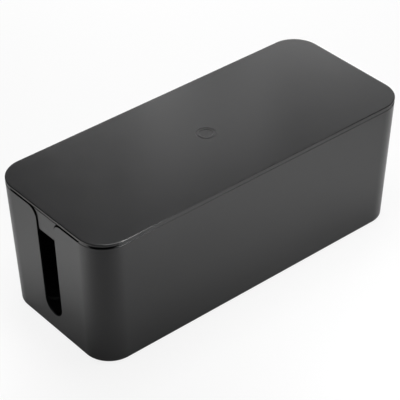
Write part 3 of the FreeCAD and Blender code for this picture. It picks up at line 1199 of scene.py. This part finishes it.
# %% Floor and background
FLOOR_SIZE = 6.0
FLOOR_COLOUR = "#e6e6e6"
WHITE = (1.0, 1.0, 1.0, 1.0)
SHADOW_SHARE = 0.14
GLOSS_SHARE = 0.05


def seen_as_backdrop(tree):
    """1 for rays from the camera or through glass, a small share for gloss rays, else 0."""
    path = add_node(tree, "ShaderNodeLightPath")
    clear = add_node(tree, "ShaderNodeMath", {
        0: path.outputs["Is Camera Ray"], 1: path.outputs["Is Transmission Ray"],
    }, operation="MAXIMUM")
    gloss = add_node(tree, "ShaderNodeMath", {
        0: path.outputs["Is Glossy Ray"], 1: GLOSS_SHARE,
    }, operation="MULTIPLY")
    return add_node(tree, "ShaderNodeMath", {0: clear, 1: gloss}, operation="MAXIMUM")


def floor_material():
    """A pale matt floor, lifted towards white where it is looked at."""
    material, tree, output = new_material("Studio floor, matt white")
    looked_at = seen_as_backdrop(tree)
    colour = add_node(tree, "ShaderNodeMix", {
        "Factor": looked_at, "A": srgb(FLOOR_COLOUR), "B": WHITE,
    }, data_type="RGBA")
    matt = add_node(tree, "ShaderNodeBsdfDiffuse", {"Color": colour})
    white = add_node(tree, "ShaderNodeEmission", {"Color": WHITE, "Strength": 1.0})
    lift = add_node(tree, "ShaderNodeMath", {0: looked_at, 1: 1 - SHADOW_SHARE}, operation="MULTIPLY")
    mixed = add_node(tree, "ShaderNodeMixShader", {0: lift, 1: matt.outputs[0], 2: white.outputs[0]})
    tree.links.new(mixed.outputs[0], output.inputs["Surface"])
    # The lift is for the eye alone, so the floor isn't sampled as a lamp
    material.cycles.emission_sampling = "NONE"
    return material


floor_mesh = bpy.data.meshes.new("floor")
half_floor = FLOOR_SIZE / 2
floor_corners = [
    (-half_floor, -half_floor, 0),
    (half_floor, -half_floor, 0),
    (half_floor, half_floor, 0),
    (-half_floor, half_floor, 0),
]
floor_mesh.from_pydata(floor_corners, [], [(0, 1, 2, 3)])
floor_mesh.materials.append(floor_material())
floor = bpy.data.objects.new("floor", floor_mesh)
bpy.context.scene.collection.objects.link(floor)

world = bpy.data.worlds.new("Studio")
world.use_nodes = True
world.node_tree.nodes.clear()
world_output = add_node(world.node_tree, "ShaderNodeOutputWorld")
sky = add_node(world.node_tree, "ShaderNodeBackground", {
    "Color": WHITE, "Strength": seen_as_backdrop(world.node_tree),
})
world.node_tree.links.new(sky.outputs[0], world_output.inputs["Surface"])
bpy.context.scene.world = world
print("floor, metres:", FLOOR_SIZE, "world:", world.name)

# %% [markdown]
# Light
#
# A satin black hardly shows the light that falls on it: it shows the lamps and the lit floor
# that it mirrors. One big soft lamp would leave it evenly grey, so each lamp has its place by
# reflection. Three soft boxes high above light it all. Others stand low behind the box, where
# the lid and its rounded edges mirror them, and small ones near the lid's mirror angle shape
# the broad sheen across it. The walls mirror the floor, so lamps that hang over the floor and
# face straight down light the patches that each wall shows. They have grids, which narrow their
# light and leave the floor towards the camera darker: the near corner mirrors that as its dark
# band. A small snooted lamp draws the bright line on the lid's edge at the near corner. The
# lid's top gets about 0.85 of the light at which a colour renders as it is written.

# %% Light: the lamps' places
box_middle = Vector((0, 0, height / 2))
near_edge = Vector((-length / 2 + corner_radius, -width / 2, height))

# How wide a lamp spreads its light, in degrees: a bare soft box, and one with a grid
OPEN, GRIDDED = 180, 120

# Azimuth in degrees (0 in front of the long side, to the right is positive), elevation in
# degrees, distance and size in metres, power in watts
SOFTBOXES = {
    "Overhead box": (0, 89, 0.7, 0.3, 2.02),
    "High front box": (0, 72, 1.3, 0.6, 1.80),
    "High rear box": (180, 72, 1.3, 0.6, 1.37),
    "Rear right box": (120, 25, 1.3, 0.6, 0.57),
    "Low rear box": (150, 8, 1.3, 0.5, 5.70),
    "Low rear right box": (120, 8, 1.3, 0.5, 5.23),
    "Sheen, far left": (160, 24, 0.9, 0.2, 0.36),
    "Sheen, left": (150, 24, 0.9, 0.2, 0.33),
    "Sheen, right": (130, 24, 0.9, 0.2, 0.14),
    "Sheen, middle": (140, 36, 0.9, 0.2, 0.11),
    "Sheen, high": (150, 42, 0.9, 0.2, 0.03),
}

# Place on the floor (x, y), height above it and size in metres, power in watts
FLOOR_LAMPS = {
    "Floor lamp, front": (0.05, -0.35, 0.25, 0.15, 0.23),
    "Floor lamp, front right": (0.20, -0.35, 0.50, 0.15, 0.41),
    "Floor lamp, right": (0.35, -0.30, 0.50, 0.15, 0.27),
    "Floor lamp, left near": (-0.25, 0.05, 0.10, 0.15, 0.02),
    "Floor lamp, left": (-0.50, 0.10, 0.25, 0.15, 0.49),
}

# Azimuth, elevation and distance from the near end of the lid's front edge, size, power, spread
EDGE_LAMP = (24, 14, 0.4, 0.08, 0.035, 30)
print("lamps:", len(SOFTBOXES), "soft boxes,", len(FLOOR_LAMPS), "over the floor, 1 for the edge")

# %% [markdown]
# The lamps, made
#
# Every lamp is a square area lamp that faces its aim. A sheet of mesh that glows could do as
# well, but an area lamp leaves less noise, its light can be narrowed, and the camera can be
# kept from seeing it.

# %% Light: the lamps
def soft_lamp(name, place, aim, size, power, spread):
    """A square soft light that faces its aim, spreads by so many degrees and isn't seen."""
    data = bpy.data.lights.new(name, "AREA")
    data.shape = "SQUARE"
    data.size = size
    data.energy = power
    data.spread = math.radians(spread)
    light = bpy.data.objects.new(name, data)
    bpy.context.scene.collection.objects.link(light)
    light.location = place
    light.rotation_euler = (aim - place).to_track_quat("-Z", "Y").to_euler()
    light.visible_camera = False


def around(centre, azimuth, elevation, distance):
    """A place in a given direction from a centre."""
    turned, raised = math.radians(azimuth), math.radians(elevation)
    flat = math.cos(raised)
    towards = Vector((math.sin(turned) * flat, -math.cos(turned) * flat, math.sin(raised)))
    return centre + towards * distance


for light_name, (azimuth, elevation, distance, size, power) in SOFTBOXES.items():
    place = around(box_middle, azimuth, elevation, distance)
    soft_lamp(light_name, place, box_middle, size, power, OPEN)

for light_name, (across, along, above, size, power) in FLOOR_LAMPS.items():
    place, aim = Vector((across, along, above)), Vector((across, along, 0))
    soft_lamp(light_name, place, aim, size, power, GRIDDED)

azimuth, elevation, distance, size, power, spread = EDGE_LAMP
edge_lamp_place = around(near_edge, azimuth, elevation, distance)
soft_lamp("Edge lamp", edge_lamp_place, near_edge, size, power, spread)
print("lights:", len(bpy.data.lights))

# %% [markdown]
# The view transform
#
# The standard view transform shows each colour as it is written, where a filmic one would grey
# the white floor.

bpy.context.scene.view_settings.view_transform = "Standard"
